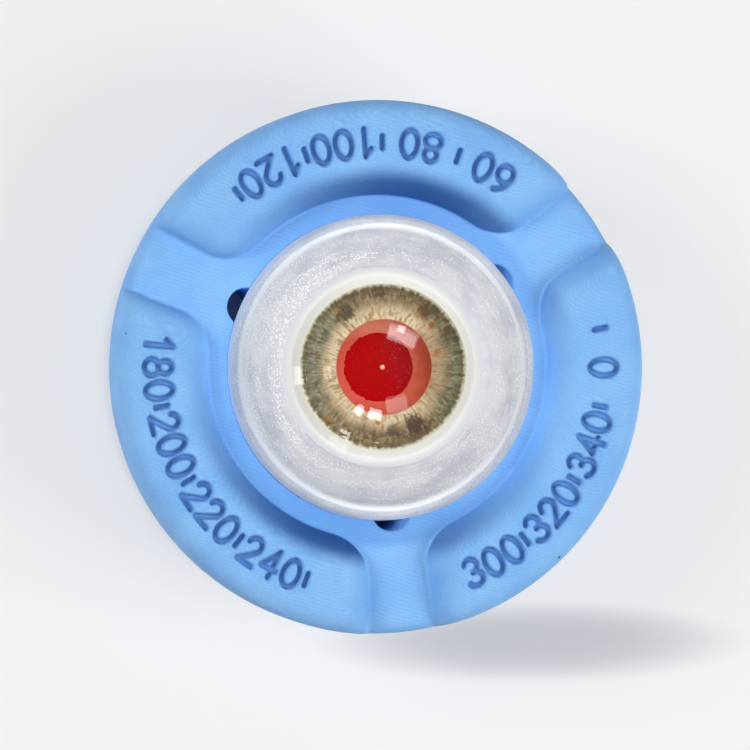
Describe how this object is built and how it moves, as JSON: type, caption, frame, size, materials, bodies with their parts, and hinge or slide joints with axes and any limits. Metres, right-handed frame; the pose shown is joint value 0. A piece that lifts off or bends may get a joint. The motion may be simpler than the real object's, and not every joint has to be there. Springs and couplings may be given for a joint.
{
  "type": "practice eye in holder",
  "caption": "Life-size practice eye with cornea, iris, red lens and frosted globe, lying in the ball socket of a round blue holder with raised arc pads and drain channels.",
  "frame": {"origin": "middle of the holder's flat back, which is the part's lowest face", "axes": "+Z is the holder's axis, from its back towards the eye; +Y is the top of the object as it is looked at; +X is its right. The globe at rest is turned 8 degrees towards -X."},
  "size_m": [0.042, 0.042, 0.027],
  "materials": {
    "holder_blue": "matt mid blue, fine slanting layer lines",
    "sclera_frosted": "frosted clear silicone with glittering fine bubbles",
    "cornea_clear": "clear, smooth and glossy",
    "limbus_white": "smooth glossy white",
    "iris_print": "printed olive and brown fibres, cream towards the pupil",
    "lens_red": "deep red with fine turning marks",
    "capsule_film": "thin pale film, salmon over the red lens",
    "ring_ivory": "plain ivory",
    "liner_red": "matt red",
    "filling_clear": "clear soft filling",
    "plug_ivory": "matt ivory"
  },
  "bodies": {
    "holder": {"holder_disc": "holder_blue"},
    "rear_globe": {"rear_sclera_cup": "sclera_frosted", "retina_cup": "liner_red", "vitreous_body": "filling_clear", "rear_plug": "plug_ivory"},
    "lens_carrier": {"ciliary_ring": "ring_ivory", "lens_capsule": "capsule_film", "lens_core": "lens_red"},
    "front_shell": {"front_sclera_shell": "sclera_frosted"},
    "cornea_button": {"cornea_cap": "cornea_clear", "limbus_ring": "limbus_white", "iris_disc": "iris_print"}
  },
  "joints": [
    {"name": "gaze_turn", "type": "hinge", "parent": "holder", "child": "rear_globe", "pos_m": [0, 0, 0.014], "axis": [0, 1, 0], "range_deg": [-4, 20]},
    {"name": "lens_lift", "type": "slide", "parent": "rear_globe", "child": "lens_carrier", "axis": [-0.1392, 0, 0.9903], "range_m": [0, 0.008]},
    {"name": "front_lift", "type": "slide", "parent": "lens_carrier", "child": "front_shell", "axis": [-0.1392, 0, 0.9903], "range_m": [0, 0.01]},
    {"name": "cornea_lift", "type": "slide", "parent": "front_shell", "child": "cornea_button", "axis": [-0.1392, 0, 0.9903], "range_m": [0, 0.008]}
  ]
}
